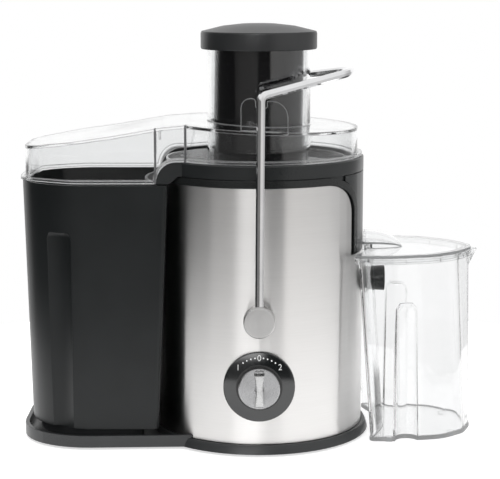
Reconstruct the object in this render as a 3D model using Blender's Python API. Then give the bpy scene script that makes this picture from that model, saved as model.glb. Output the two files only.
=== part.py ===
"""Centrifugal juicer: motor body, bowl and sieve, clear lid with feed tube, locking bail, pulp bin, jug.

Lengths are in millimetres and become metres in the mesh helpers. The shapes are laid out about the
motor's vertical axis, with z = 0 at the underside of the base moulding. One empty then moves the
whole juicer so that its origin is the middle of its footprint, at the level it stands on.
"""

import math

import bmesh
import bpy
from mathutils import Matrix, Vector

MM = 0.001
GAP = 0.3
BIG, MEDIUM, SMALL = 60, 32, 14
FRAME_X, FRAME_Y = 6.05, 3.6
FOOT_H = 2.0

# Motor body
HOUSING_R, HOUSING_WALL = 79.8, 2.4
WRAP_R, WRAP_IN = 80.9, 80.1
WRAP_LOW, WRAP_TOP = 6.8, 198.6
TRIM_R, TRIM_GAP = 81.6, 0.7
DECK_Z = 106.3
SKIRT_R, SKIRT_H = 86.0, 6.5
SHOULDER_Z, SHOULDER_LOW = 175.0, 142.8
SHOULDER_EDGE, SHOULDER_RUN = 30.6, 21.4
LEG_OUTER, LEG_INNER, SHROUD_EDGE, SHOULDER_END = 23.7, 28.0, 22.9, 54.0

# Bowl, sieve and lid
BAND_R, BAND_LOW, BAND_TOP = 80.9, 204.8, 215.2
BOWL_FLOOR, BOWL_R, BOWL_WALL = 109.0, 76.4, 2.2
LID_R, LID_WALL, LID_LOW = 76.0, 2.2, 215.5
LID_PROFILE = [(76.0, 236.2), (0.0, 239.6), (-54.0, 242.2), (-73.0, 240.6), (-110.0, 234.2), (-181.0, 221.2)]
SPILL_Z, SPILL_X, SPILL_DX = 199.2, -62.0, 14.5
CHUTE_R, CHUTE_BORE, CHUTE_LOW, CHUTE_TOP = 39.6, 37.4, 160.0, 302.0
PUSHER_R, CAP_R = 34.2, 44.6
SIEVE_LOW, SIEVE_TOP = 151.3, 205.0

# Locking bail
WIRE_R, BAIL_Y, PIVOT_Z = 3.2, 87.0, 101.3
BAIL_TOP, NOSE_X, NOSE_Z, APEX_X = 266.0, 70.0, 279.0, 82.0
HUB_R, ELBOW_R = 11.8, 4.8

# Dial
DIAL_Z, BEZEL_R, KNOB_R = 51.1, 26.6, 15.5
BEZEL_FACE = -84.6

# Pulp bin and jug
BIN_LOW, BIN_TOP, BIN_WALL = 12.0, 198.0, 2.0
JUG_TOP, JUG_WALL = 141.5, 2.0
SPOUT_Z, NOTCH_R = 118.0, 12.2
HOOD_LEFT, HOOD_LENGTH, HOOD_HALF, HOOD_HEIGHT = 82.2, 29.5, 16.5, 14.0

# Motor
SHAFT_R = 4.0
CORE_LOW, CORE_TOP, CORE_R = 36.0, 74.0, 21.3


# ---------------------------------------------------------------- materials
def material(name, colour, roughness, metallic=0.0):
    mat = bpy.data.materials.new(name)
    mat.use_nodes = True
    shader = mat.node_tree.nodes["Principled BSDF"]
    shader.inputs["Base Color"].default_value = (*colour, 1.0)
    shader.inputs["Roughness"].default_value = roughness
    shader.inputs["Metallic"].default_value = metallic
    mat.diffuse_color = (*colour, 1.0)
    return mat


CHARCOAL = (0.035, 0.037, 0.039)
BLACK = (0.012, 0.012, 0.013)
STEEL = (0.62, 0.60, 0.58)
SILVER = (0.55, 0.55, 0.56)
CLEAR = (0.85, 0.88, 0.89)
COPPER = (0.60, 0.24, 0.10)
BRASS = (0.62, 0.46, 0.18)
IRON = (0.22, 0.22, 0.23)


# ---------------------------------------------------------------- mesh helpers
def add_mesh(name, bm, colour=CHARCOAL, roughness=0.45, metallic=0.0):
    """A named object from a bmesh that is laid out in millimetres."""
    bmesh.ops.recalc_face_normals(bm, faces=bm.faces)
    bmesh.ops.scale(bm, vec=(MM, MM, MM), verts=bm.verts)
    mesh = bpy.data.meshes.new(name)
    bm.to_mesh(mesh)
    bm.free()
    obj = bpy.data.objects.new(name, mesh)
    bpy.context.collection.objects.link(obj)
    mesh.materials.append(material(name + "_finish", colour, roughness, metallic))
    mesh.shade_smooth()
    mesh.set_sharp_from_angle(angle=math.radians(35))
    return obj


def turned(name, profile, segments=BIG, axis="Z", centre=(0, 0, 0), **look):
    """Solid of revolution of an (r, h) profile about the named axis through centre."""
    bm = bmesh.new()
    verts = [bm.verts.new((r, 0, h)) for r, h in profile]
    edges = [bm.edges.new(pair) for pair in zip(verts, verts[1:])]
    if profile[0][0] > 0:
        edges.append(bm.edges.new((verts[-1], verts[0])))
    bmesh.ops.spin(bm, geom=verts + edges, axis=(0, 0, 1), cent=(0, 0, 0), steps=segments,
                   angle=math.tau, use_merge=True)
    bmesh.ops.remove_doubles(bm, verts=bm.verts, dist=1e-5)
    turn = {"Z": Matrix(), "X": Matrix.Rotation(math.pi / 2, 4, "Y"),
            "-X": Matrix.Rotation(-math.pi / 2, 4, "Y"),
            "Y": Matrix.Rotation(-math.pi / 2, 4, "X"), "-Y": Matrix.Rotation(math.pi / 2, 4, "X")}[axis]
    bmesh.ops.transform(bm, matrix=Matrix.Translation(centre) @ turn, verts=bm.verts)
    return add_mesh(name, bm, **look)


def rod(name, radius, low, high, segments=SMALL, axis="Z", centre=(0, 0, 0), **look):
    return turned(name, [(0, low), (radius, low), (radius, high), (0, high)], segments, axis, centre, **look)


def ring(name, inner, outer, low, high, segments=SMALL, axis="Z", centre=(0, 0, 0), **look):
    profile = [(inner, low), (outer, low), (outer, high), (inner, high)]
    return turned(name, profile, segments, axis, centre, **look)


def loft(name, rings, **look):
    """Solid skinned over closed loops of equal length, with a flat cap on the first and the last."""
    bm = bmesh.new()
    loops = [[bm.verts.new(p) for p in points] for points in rings]
    for low, high in zip(loops, loops[1:]):
        for i, vert in enumerate(low):
            j = (i + 1) % len(low)
            bm.faces.new((vert, low[j], high[j], high[i]))
    bm.faces.new(loops[0])
    bm.faces.new(loops[-1])
    return add_mesh(name, bm, **look)


def prism(name, outline, low, high, plane="XY", **look):
    """Outline extruded along the axis normal to its plane."""
    place = {"XY": lambda a, b, h: (a, b, h), "XZ": lambda a, b, h: (a, h, b),
             "YZ": lambda a, b, h: (h, a, b)}[plane]
    return loft(name, [[place(a, b, h) for a, b in outline] for h in (low, high)], **look)


def block(name, low, high, **look):
    (x0, y0, z0), (x1, y1, z1) = low, high
    return prism(name, [(x0, y0), (x1, y0), (x1, y1), (x0, y1)], z0, z1, **look)


def patch(name, columns, inner, outer, **look):
    """Piece of a cylinder's wall: columns are (degrees, low z, high z) round the motor axis."""
    rings = []
    for angle, low, high in columns:
        c, s = math.cos(math.radians(angle)), math.sin(math.radians(angle))
        rings.append([(r * c, r * s, z) for r, z in ((inner, low), (outer, low), (outer, high), (inner, high))])
    return loft(name, rings, **look)


def combine(target, operation, others):
    for other in others:
        step = target.modifiers.new(operation.title(), "BOOLEAN")
        step.operation = operation
        step.solver = "EXACT"
        step.object = other
        other.hide_render = True
        other.display_type = "WIRE"
    return target


def cut(target, *others):
    return combine(target, "DIFFERENCE", others)


def join(target, *others):
    return combine(target, "UNION", others)


def common(target, *others):
    return combine(target, "INTERSECT", others)


def wire(name, points, radius, resolution=3, **look):
    """Round wire along the points, with filled ends."""
    curve = bpy.data.curves.new(name, "CURVE")
    curve.dimensions = "3D"
    curve.bevel_depth = radius * MM
    curve.bevel_resolution = resolution
    curve.use_fill_caps = True
    spline = curve.splines.new("POLY")
    spline.points.add(len(points) - 1)
    for point, place in zip(spline.points, points):
        point.co = (*(v * MM for v in place), 1.0)
    obj = bpy.data.objects.new(name, curve)
    bpy.context.collection.objects.link(obj)
    curve.materials.append(material(name + "_finish", look["colour"], look["roughness"], look["metallic"]))
    return obj


# ---------------------------------------------------------------- outline helpers
def fillet(before, corner, after, radius, steps):
    """Arc of steps + 1 points that rounds one corner, in two or three dimensions."""
    corner = Vector(corner)
    to_before = (Vector(before) - corner).normalized()
    to_after = (Vector(after) - corner).normalized()
    half = to_before.angle(to_after) / 2
    back = radius / math.tan(half)
    middle = corner + (to_before + to_after).normalized() * radius / math.sin(half)
    start = corner + to_before * back - middle
    end = corner + to_after * back - middle
    sweep = math.pi - 2 * half
    points = []
    for i in range(steps + 1):
        a, b = math.sin(sweep * (1 - i / steps)), math.sin(sweep * i / steps)
        points.append(middle + (start * a + end * b) / math.sin(sweep))
    return [tuple(p) for p in points]


def rounded(corners, steps=5):
    """Closed outline through (x, y, radius) corners."""
    outline = []
    for i, (x, y, radius) in enumerate(corners):
        before = corners[i - 1][:2]
        after = corners[(i + 1) % len(corners)][:2]
        outline += fillet(before, (x, y), after, radius, steps)
    return outline


def mirrored(corners):
    """Corners listed for y < 0, completed with their mirror images for y > 0."""
    return corners + [(x, -y, r) for x, y, r in reversed(corners)]


def hugging(corners, radius, side, steps=5, arc_steps=10):
    """Outline of a vessel beside the motor body: rounded corners, and a hollow wall about the axis.

    The corners run from one end of the hollow wall round to the other."""
    outline = []
    closed = [corners[-1]] + corners + [corners[0]]
    for before, corner, after in zip(closed, corners, closed[2:]):
        if corner in (corners[0], corners[-1]):
            turn = math.radians(6) * (1 if corner[1] < 0 else -1) * side
            angle = math.atan2(corner[1], corner[0]) + turn
            inner = (radius * math.cos(angle), radius * math.sin(angle))
            if corner is corners[0]:
                before = inner
            else:
                after = inner
        outline += fillet(before[:2], corner[:2], after[:2], corner[2], steps)
    start = math.atan2(outline[-1][1], outline[-1][0]) % math.tau
    end = math.atan2(outline[0][1], outline[0][0]) % math.tau
    if side > 0:
        start, end = start if start < math.pi else start - math.tau, end if end < math.pi else end - math.tau
    for i in range(1, arc_steps):
        angle = start + (end - start) * i / arc_steps
        outline.append((radius * math.cos(angle), radius * math.sin(angle)))
    return outline


def inset(outline, distance):
    """Outline moved inwards by a distance small beside its curves."""
    area = sum(a[0] * b[1] - b[0] * a[1] for a, b in zip(outline, outline[1:] + outline[:1]))
    side = 1 if area > 0 else -1
    moved = []
    for i, point in enumerate(outline):
        here = Vector(point)
        back = (here - Vector(outline[i - 1])).normalized()
        on = (Vector(outline[(i + 1) % len(outline)]) - here).normalized()
        along = (back + on).normalized()
        reach = distance / max(0.5, along.dot(on))
        moved.append((point[0] - along.y * reach * side, point[1] + along.x * reach * side))
    return moved


def blend(low, high, t):
    return [(a[0] + (b[0] - a[0]) * t, a[1] + (b[1] - a[1]) * t) for a, b in zip(low, high)]


def level(outline, z):
    return [(x, y, z) for x, y in outline]


def clear_scene():
    for obj in list(bpy.data.objects):
        bpy.data.objects.remove(obj, do_unlink=True)


# ---------------------------------------------------------------- base and motor body
TRAY = mirrored([(-45.0, -64.0, 8.0), (-148.0, -68.0, 56.0), (-182.0, -41.0, 46.0)])
BIN_LOW_PLAN = [(-73.5, -59.0, 4.0), (-140.5, -59.0, 46.0), (-177.0, -34.0, 50.0),
                (-177.0, 34.0, 50.0), (-140.5, 59.0, 46.0), (-73.5, 59.0, 4.0)]
BIN_HIGH_PLAN = [(-63.8, -58.6, 4.0), (-142.5, -58.8, 46.0), (-181.5, -36.5, 50.0),
                 (-181.5, 36.5, 50.0), (-142.5, 58.8, 46.0), (-63.8, 58.6, 4.0)]
BIN_LOW_R, BIN_HIGH_R = 92.5, 86.2


def make_base():
    tray = prism("base_tray", rounded(TRAY), 0, 9.0, colour=CHARCOAL, roughness=0.42)
    pocket = prism("tray_pocket", inset(rounded(TRAY), 3.0), 3.0, 12.0)
    soft = [(x, y, max(r, 14.0)) for x, y, r in BIN_LOW_PLAN]
    plinth = prism("tray_plinth", inset(hugging(soft, BIN_LOW_R, -1), 6.0), 2.5, BIN_LOW - GAP)
    skirt = turned("skirt", [(0, 0), (SKIRT_R, 0), (84.6, 4.5), (83.6, SKIRT_H), (0, SKIRT_H)])
    well = rod("skirt_well", HOUSING_R + GAP, 3.0, 12.0, BIG)
    cut(tray, pocket)
    join(tray, plinth, skirt)
    for i in range(6):
        slot = block(f"vent_{i}", (14, -2.2, -3), (44, 2.2, 6))
        slot.rotation_euler.z = math.radians(60 * i + 30)
        cut(tray, slot)
    for i, (x, y) in enumerate(SCREWS):
        cut(tray, turned(f"screw_hole_{i}", [(0, -1), (3.5, -1), (3.5, 1.9), (1.9, 1.9), (1.9, 5), (0, 5)],
                         10, centre=(x, y, 0)))
    for name, (x, y) in FEET.items():
        cut(tray, rod(name + "_recess", 9.3, -3, 1.2, SMALL, centre=(x, y, 0)))
        turned(name, [(0, -FOOT_H), (7.6, -FOOT_H), (8.8, -0.8), (8.8, 0.9), (0, 0.9)], SMALL,
               centre=(x, y, 0), colour=(0.02, 0.02, 0.02), roughness=0.85)
    cut(tray, well, rod("wrap_well", WRAP_R + GAP, SKIRT_H - 0.06, 12.0, BIG))
    for i, (x, y) in enumerate(SCREWS):
        turned(f"base_screw_{i + 1}", [(0, 0.3), (3.1, 0.3), (3.1, 1.6), (1.5, 1.6), (1.5, 15), (0, 15)], 8,
               centre=(x, y, 0), colour=STEEL, roughness=0.35, metallic=1.0)


SCREWS = [(73.0 * math.cos(math.radians(a)), 73.0 * math.sin(math.radians(a))) for a in (20, 160, 200, 340)]
FEET = {"foot_front_right": (46, -48), "foot_rear_right": (46, 48),
        "foot_front_left": (-150, -38), "foot_rear_left": (-150, 38)}


def make_housing():
    inner = HOUSING_R - HOUSING_WALL
    body = turned("motor_housing", [
        (HOUSING_R, 3.3), (HOUSING_R, 198.2), (inner, 198.2), (inner, DECK_Z + 2.3), (26, DECK_Z + 2.3),
        (26, DECK_Z), (inner, DECK_Z), (inner, 3.3)], 40, colour=BLACK, roughness=0.5)
    for i, (x, y) in enumerate(SCREWS):
        join(body, rod(f"boss_{i}", 4.6, 3.3, 26, 10, centre=(x, y, 0)))
        cut(body, rod(f"boss_hole_{i}", 1.8, 2, 17, 8, centre=(x, y, 0)))
    side_holes(body, 0.0)
    wrap = ring("steel_wrap", WRAP_IN, WRAP_R, WRAP_LOW, WRAP_TOP, BIG,
                colour=STEEL, roughness=0.28, metallic=1.0)
    side_holes(wrap, 0.2)
    cut(wrap, patch("shoulder_cut", shoulder_columns(), 70, 90))
    for name, mirror in (("trim_strip_front", -1), ("trim_strip_rear", 1)):
        strip = patch(name, [(mirror * a, z0, z1) for a, z0, z1 in trim_columns()], WRAP_IN, TRIM_R,
                      colour=BLACK, roughness=0.4)
        lip_gap = [(-57.6, 206.0), (-57.6, 204.0), (-60.2, 203.4), (-66.6, 198.0), (-100.0, 198.0), (-100.0, 206.0)]
        cut(strip, prism(name + "_end", lip_gap, -90.0, 90.0, "XZ"))
    patch("spout_shroud", shroud_columns(), WRAP_IN, WRAP_R - 0.1, colour=CHARCOAL, roughness=0.4)


def side_holes(body, extra):
    cut(body, rod(body.name + "_spout", 10.6 + extra, 60, 90, SMALL, "X", (0, 0, SPOUT_Z)))
    cut(body, rod(body.name + "_dial", 9.0 + extra, 60, 90, SMALL, "-Y", (0, 0, DIAL_Z)))
    cut(body, rod(body.name + "_gland", 6.2 + extra, 60, 90, SMALL, "Y", (0, 0, 24.0)))
    for side in ("Y", "-Y"):
        cut(body, rod(body.name + "_pin" + side, 4.3 + extra, 60, 90, SMALL, side, (0, 0, PIVOT_Z)))


def steel_edge(angle):
    """Height of the steel sheet's upper edge at an angle from the spout side."""
    part = (SHOULDER_EDGE + SHOULDER_RUN - abs(angle)) / SHOULDER_RUN
    if part <= 0:
        return WRAP_TOP
    return SHOULDER_Z + (WRAP_TOP - SHOULDER_Z) * math.sqrt(max(0.0, 1 - part * part))


def corner_curve(angle, edge, low, high):
    """Height at an angle of an ellipse's quarter that rises from (edge, low) to (SHOULDER_END, high)."""
    part = (SHOULDER_END - angle) / (SHOULDER_END - edge)
    return low + (high - low) * math.sqrt(max(0.0, 1 - max(0.0, part) ** 2))


def trim_edge(angle):
    """Height of a trim strip's outer edge at an angle from the spout side."""
    return corner_curve(angle, LEG_OUTER, SHOULDER_Z + 1.5, BAND_LOW - TRIM_GAP)


def trim_inside(angle):
    """Height of a trim strip's inner edge: level over the steel, with a recess beside its leg."""
    recess = corner_curve(angle, LEG_INNER, SHOULDER_Z + 1.0, WRAP_TOP + GAP)
    return max(recess, steel_edge(angle) + GAP)


def steps_between(low, high, count):
    return [low + (high - low) * i / count for i in range(count + 1)]


def shoulder_angles(low):
    """Angles on one side of the spout, closest together where the corner is steepest."""
    return [low + (SHOULDER_END - low) * t * t for t in steps_between(0, 1, 9)]


def shoulder_columns():
    side = [(a, steel_edge(a), 230) for a in shoulder_angles(SHOULDER_EDGE)]
    flat = [(a, SHOULDER_LOW, 230) for a in steps_between(-SHOULDER_EDGE + 0.02, SHOULDER_EDGE - 0.02, 10)]
    return [(-a, z0, z1) for a, z0, z1 in reversed(side)] + flat + side


def trim_columns():
    low = SHOULDER_LOW + GAP
    leg = [(a, low, trim_edge(a)) for a in shoulder_angles(LEG_OUTER) if a < LEG_INNER - 0.3]
    leg.append((LEG_INNER, low, trim_edge(LEG_INNER)))
    bend = [(a, trim_inside(a), trim_edge(a)) for a in shoulder_angles(LEG_INNER + 0.05)]
    along = [(a, WRAP_TOP + GAP, BAND_LOW - TRIM_GAP) for a in steps_between(60, 156, 15)]
    return leg + bend + along


def shroud_columns():
    high = BAND_LOW - TRIM_GAP
    side = [(a, trim_edge(a) + 0.9, high) for a in shoulder_angles(LEG_OUTER) if trim_edge(a) < high - 3.0]
    side.insert(0, (SHROUD_EDGE + 0.02, SHOULDER_Z + 3.0, high))
    flat = [(a, SHOULDER_LOW + GAP, high) for a in steps_between(-SHROUD_EDGE, SHROUD_EDGE, 10)]
    return [(-a, z0, z1) for a, z0, z1 in reversed(side)] + flat + side


# ---------------------------------------------------------------- bowl, sieve and lid
def spill_arc(offset, steps=7):
    """Quarter round by which the bowl's lip and the lid's edge step down to the bin, in x and z."""
    points = []
    for i in range(steps + 1):
        angle = math.pi / 2 * i / steps
        x = SPILL_X - (SPILL_DX - offset) * math.sin(angle)
        z = SPILL_Z + (LID_LOW - SPILL_Z - offset) * math.cos(angle)
        points.append((x, z))
    return points


def make_bowl():
    inner = BOWL_R - BOWL_WALL
    bowl = turned("juice_bowl", [
        (17, BOWL_FLOOR), (BOWL_R, BOWL_FLOOR), (BOWL_R, 198.6), (79.6, 201), (79.6, BAND_LOW),
        (BAND_R, BAND_LOW), (BAND_R, BAND_TOP - 0.8), (BAND_R - 0.8, BAND_TOP), (inner, BAND_TOP),
        (inner, BOWL_FLOOR + 2.2), (19, BOWL_FLOOR + 2.2), (19, 134), (17, 134)], colour=CHARCOAL, roughness=0.4)
    outer_arc = [(x, z - GAP) for x, z in spill_arc(0.0)]
    lip_outline = [(-56.0, BAND_TOP)] + outer_arc + [(-67.0, SPILL_Z - GAP), (-60.0, BAND_LOW), (-56.0, BAND_LOW)]
    lip = prism("spill_lip", lip_outline, -57.0, 57.0, "XZ")
    cut(lip, rod("lip_bore", inner, 150, 230, BIG))
    above = prism("spill_mouth", [(-56.0, 230.0)] + [(SPILL_X + 0.01, BAND_TOP + 0.01)] + outer_arc[1:]
                  + [(-100.0, SPILL_Z - GAP), (-100.0, 230.0)], -70.0, 70.0, "XZ")
    join(bowl, lip)
    cut(bowl, above, rod("bowl_outlet", 8.5, 60, 90, SMALL, "X", (0, 0, SPOUT_Z)))
    spout = turned("juice_spout", [
        (6.6, 70.5), (8.2, 70.5), (8.2, 81.3), (12.0, 81.3), (12.0, 83.0), (9.0, 83.6), (9.9, 98.0),
        (8.2, 98.0), (6.6, 84.0)], 22, "X", (0, 0, SPOUT_Z), colour=BLACK, roughness=0.3)
    return bowl, spout


def make_sieve(parent):
    look = {"colour": STEEL, "roughness": 0.3, "metallic": 1.0}
    parts = [
        turned("filter_hub", [(0, 148.6), (13, 148.6), (13, 138), (16.5, 138), (16.5, 146.5), (42.3, 146.5),
                              (42.3, 151), (0, 151)], MEDIUM, colour=BLACK, roughness=0.5),
        turned("filter_mesh", [(40.4, SIEVE_LOW), (41.3, SIEVE_LOW), (66.9, SIEVE_TOP), (66.0, SIEVE_TOP)],
               MEDIUM, **look),
        turned("filter_rim", [(64.4, 205.3), (68.6, 205.3), (70.4, 209), (70.4, 213.6), (69.2, 213.6),
                              (68.0, 206.8)], 48, **look),
    ]
    disc = rod("grater_disc", 38.8, SIEVE_LOW, 152.6, MEDIUM, **look)
    star = [(r * math.cos(math.tau * i / 36), r * math.sin(math.tau * i / 36))
            for i, r in enumerate([32.0, 27.0] * 18)]
    join(disc, prism("grater_teeth", star, 152.0, 154.0))
    parts.append(disc)
    for part in parts:
        part.parent = parent


def lid_plan(grow):
    """Plan of the lid's wall, moved outwards by grow: round over the sieve, longer over the bin."""
    radius = LID_R + grow
    side = [(-77.0, -(54.6 + grow), 6.0), (-141.0, -(55.0 + grow), 26.0), (-178.0 - grow, -34.0, 27.0)]
    corners = side + [(x, -y, r) for x, y, r in reversed(side)]
    meet = math.atan2(-math.sqrt(radius ** 2 - 55.0 ** 2), -55.0)
    first = (radius * math.cos(meet), radius * math.sin(meet))
    outline = []
    for i, (x, y, r) in enumerate(corners):
        before = corners[i - 1][:2] if i else first
        after = corners[i + 1][:2] if i + 1 < len(corners) else (first[0], -first[1])
        outline += fillet(before, (x, y), after, r, 4)
    arc = [(radius * math.cos(-meet - turn), radius * math.sin(-meet - turn))
           for turn in steps_between(0, 2 * -meet, 44)]
    return outline + arc


def lid_body(name, grow, roof):
    """Lid plan raised to the roof line lowered by roof, down to the stepped lower edge.

    The hollow's copy, with a negative grow, runs on below the edge so that the lid stays open there."""
    body = prism(name, lid_plan(grow), 190.0, 250.0)
    drop = 0.0 if grow >= 0 else 6.0
    right, left = LID_PROFILE[0], LID_PROFILE[-1]
    roof_line = [(right[0] + 20.0, right[1])] + LID_PROFILE[1:-1] + [(left[0] - 20.0, left[1])]
    top = [(x, z - roof) for x, z in roof_line]
    edge = [(x, z - drop) for x, z in reversed(spill_arc(0.0))]
    low = [(-201.0, SPILL_Z - drop)] + edge + [(96.0, LID_LOW - drop)]
    common(body, prism(name + "_side", top + low, -120.0, 120.0, "XZ"))
    return body


def make_lid():
    lid = lid_body("lid", 0.0, 0.0)
    lid.data.materials.clear()
    lid.data.materials.append(material("lid_clear", CLEAR, 0.05))
    flange = prism("lid_flange", lid_plan(3.6), 190.0, 230.0)
    edge = list(reversed(spill_arc(0.0)))
    raised = spill_arc(-2.2)[:-1]
    band = ([(-201.0, SPILL_Z)] + edge + [(96.0, LID_LOW), (96.0, LID_LOW + 2.2)] + raised
            + [(-78.6, SPILL_Z + 2.2), (-201.0, SPILL_Z + 2.2)])
    common(flange, prism("lid_flange_side", band, -120.0, 120.0, "XZ"))
    join(lid, flange)
    cut(lid, lid_body("lid_hollow", -LID_WALL, LID_WALL))
    for side in (-1, 1):
        join(lid, block(f"lid_rib_{side}", (-77.6, min(side * 50.8, side * 54.0), 221.0),
                        (-76.4, max(side * 50.8, side * 54.0), 239.6)))
    join(lid, rod("chute", CHUTE_R, CHUTE_LOW, CHUTE_TOP, 56))
    for side in (-1, 1):
        ear = rounded([(-13.6, 239.0, 0.4), (-13.6, 264.0, 7.0), (-2.5, 264.0, 3.0), (-2.5, 257.0, 1.2),
                       (5.5, 257.0, 1.2), (5.5, 262.0, 1.2), (21.0, 262.0, 12.0), (21.0, 237.4, 0.4)], 4)
        join(lid, prism(f"catch_{side}", ear, min(side * 71.8, side * 74.0), max(side * 71.8, side * 74.0), "XZ"))
    cut(lid, rod("chute_bore", CHUTE_BORE, CHUTE_LOW - 5, CHUTE_TOP + 5, 56))
    return lid


def make_pusher(parent):
    body = turned("pusher_body", [
        (0, 163), (PUSHER_R - 3, 163), (PUSHER_R, 166), (PUSHER_R, 303), (PUSHER_R - 2.4, 303),
        (PUSHER_R - 2.4, 168), (0, 168)], 48, colour=BLACK, roughness=0.12)
    cap = turned("pusher_cap", [
        (0, 303.3), (41.6, 303.3), (41.6, 296.2), (CAP_R - 0.5, 296.2), (CAP_R, 297.2), (CAP_R, 308),
        (CAP_R - 0.7, 309.6), (28, 313.5), (13, 315.2), (0, 315.6)], 44, colour=CHARCOAL, roughness=0.5)
    body.parent = parent
    cap.parent = parent


# ---------------------------------------------------------------- bail
def make_bail(parent):
    slope = (NOSE_Z - BAIL_TOP) / NOSE_X
    half = math.atan2(BAIL_Y, APEX_X - 1.0)
    nose_r = (APEX_X - NOSE_X) / (1 / math.sin(half) - 1)

    def rise(x):
        return BAIL_TOP + slope * x

    foot = (0.0, -BAIL_Y, PIVOT_Z + 6.0)
    corner = (1.0, -BAIL_Y, rise(1.0))
    apex = (APEX_X, 0.0, rise(APEX_X))
    front = [foot] + fillet(foot, corner, apex, ELBOW_R, 6)
    centre = APEX_X - nose_r / math.sin(half)
    nose = []
    for a in steps_between(half - math.pi / 2, math.pi / 2 - half, 10):
        x = centre + nose_r * math.cos(a)
        nose.append((x, nose_r * math.sin(a), rise(x)))
    rear = [(x, -y, z) for x, y, z in reversed(front)]
    bail = wire("bail_wire", [(x, y, z - PIVOT_Z) for x, y, z in front + nose + rear], WIRE_R,
                colour=(0.8, 0.8, 0.82), roughness=0.06, metallic=1.0)
    bail.parent = parent
    for name, side in (("bail_hub_front", "-Y"), ("bail_hub_rear", "Y")):
        hub = turned(name, [
            (0, 88.2), (4.2, 88.2), (4.2, 82.4), (HUB_R - 0.6, 82.4), (HUB_R, 83.2), (HUB_R, 90.6),
            (HUB_R - 0.9, 91.6), (0, 91.6)], 24, side, colour=SILVER, roughness=0.3, metallic=1.0)
        y = BAIL_Y if side == "Y" else -BAIL_Y
        socket = rod(name + "_socket", WIRE_R + 0.25, 5.6, 20, SMALL, centre=(0, y, 0))
        socket.parent = parent
        cut(hub, socket)
        hub.parent = parent
    for name, side in (("pivot_pin_front", "-Y"), ("pivot_pin_rear", "Y")):
        turned(name, [(0, 73.5), (4.8, 73.5), (4.8, 76.4), (4.0, 76.4), (4.0, 87.9), (0, 87.9)], SMALL, side,
               (0, 0, PIVOT_Z), colour=STEEL, roughness=0.35, metallic=1.0)


# ---------------------------------------------------------------- dial
def make_dial(parent):
    face = -BEZEL_FACE
    bezel = turned("dial_bezel", [
        (7.5, 74), (BEZEL_R, 74), (BEZEL_R, face - 2.8), (BEZEL_R - 0.6, face - 2.1), (KNOB_R + 1.5, face),
        (7.5, face)], 56, "-Y", (0, 0, DIAL_Z), colour=BLACK, roughness=0.15)
    cut(bezel, rod("bezel_saddle", WRAP_R + GAP, -20, 120, BIG))
    knob = turned("dial_knob", [
        (3.3, face + GAP), (KNOB_R - 0.6, face + GAP), (KNOB_R, face + 1.0), (KNOB_R, face + 4.2),
        (KNOB_R - 0.8, face + 5.0), (3.3, face + 5.0)], 30, "-Y",
        colour=SILVER, roughness=0.28, metallic=1.0)
    grip_rings = []
    for out, low, high, thin in ((2.0, -13.2, 13.4, 0.0), (13.2, -11.2, 12.7, 0.0), (14.2, -10.6, 12.1, 0.7)):
        right = [(2.5 + 1.3 * (z / 13.0) ** 2 - thin, z) for z in steps_between(low, high, 6)]
        grip_plan = right + [(-x, z) for x, z in reversed(right)]
        grip_rings.append([(x, -(face + out), z) for x, z in grip_plan])
    grip = loft("knob_grip", grip_rings)
    grip.parent = parent
    bore = rod("knob_bore", 3.3, face - 2, face + 4.2, SMALL, "-Y")
    bore.parent = parent
    join(knob, grip)
    cut(knob, bore)
    knob.parent = parent
    spindle = rod("dial_spindle", 3.0, 62.0, face + 3.9, SMALL, "-Y",
                  colour=STEEL, roughness=0.4, metallic=1.0)
    spindle.parent = parent
    switch = block("rotary_switch", (-14, -74.6, DIAL_Z - 14), (14, -60.5, DIAL_Z + 14),
                   colour=(0.5, 0.5, 0.48), roughness=0.6)
    cut(switch, rod("switch_bore", 3.3, 50, 90, SMALL, "-Y", (0, 0, DIAL_Z)))


# ---------------------------------------------------------------- pulp bin and jug
def vessel(name, plan, low, high, wall, floor, groove, levels=6, **look):
    """Open vessel: plan(t) is its outline at height fraction t, with a thumb groove on each side."""
    height = high - low
    outer = loft(name, [level(plan(t), low + height * t) for t in steps_between(0, 1, levels)], **look)
    tall = [level(inset(plan(t), wall), max(low + floor, low + height * t))
            for t in steps_between(0, 1, levels)]
    over = [level(inset(plan(1.0), wall), high + 5)]
    hollow = loft(name + "_hollow", tall + over)
    x, y, radius, top = groove
    for side in (-1, 1):
        cut(hollow, turned(f"{name}_pad_{side}", [(0, low - 5), (radius + wall, low - 5),
                                                  (radius + wall, top + wall - 4), (radius, top + wall),
                                                  (0, top + wall)],
                           SMALL, centre=(x, side * y, 0)))
        cut(outer, turned(f"{name}_groove_{side}", [(0, low - 6), (radius, low - 6), (radius, top - 4),
                                                    (radius - 2, top), (0, top)],
                          SMALL, centre=(x, side * y, 0)))
    cut(outer, hollow)
    return outer


def make_bin(parent):
    low = hugging(BIN_LOW_PLAN, BIN_LOW_R, -1)
    high = hugging(BIN_HIGH_PLAN, BIN_HIGH_R, -1)
    body = vessel("pulp_container", lambda t: blend(low, high, t), BIN_LOW, BIN_TOP, BIN_WALL, 2.5,
                  (-154.6, 62.9, 15.5, 162.0), levels=2, colour=CHARCOAL, roughness=0.38)
    body.parent = parent


JUG_LOW_PLAN = mirrored([(84.5, -50.0, 3.0), (106.0, -50.5, 20.0), (141.0, -43.5, 30.0),
                         (158.5, -27.5, 18.0), (165.2, -9.0, 10.0)])
JUG_HIGH_PLAN = mirrored([(72.5, -47.5, 3.0), (100.0, -47.5, 20.0), (131.0, -40.5, 30.0),
                          (151.0, -25.0, 28.0), (163.2, -6.0, 8.0)])
JUG_LOW_R, JUG_HIGH_R = 96.5, 86.8


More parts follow.
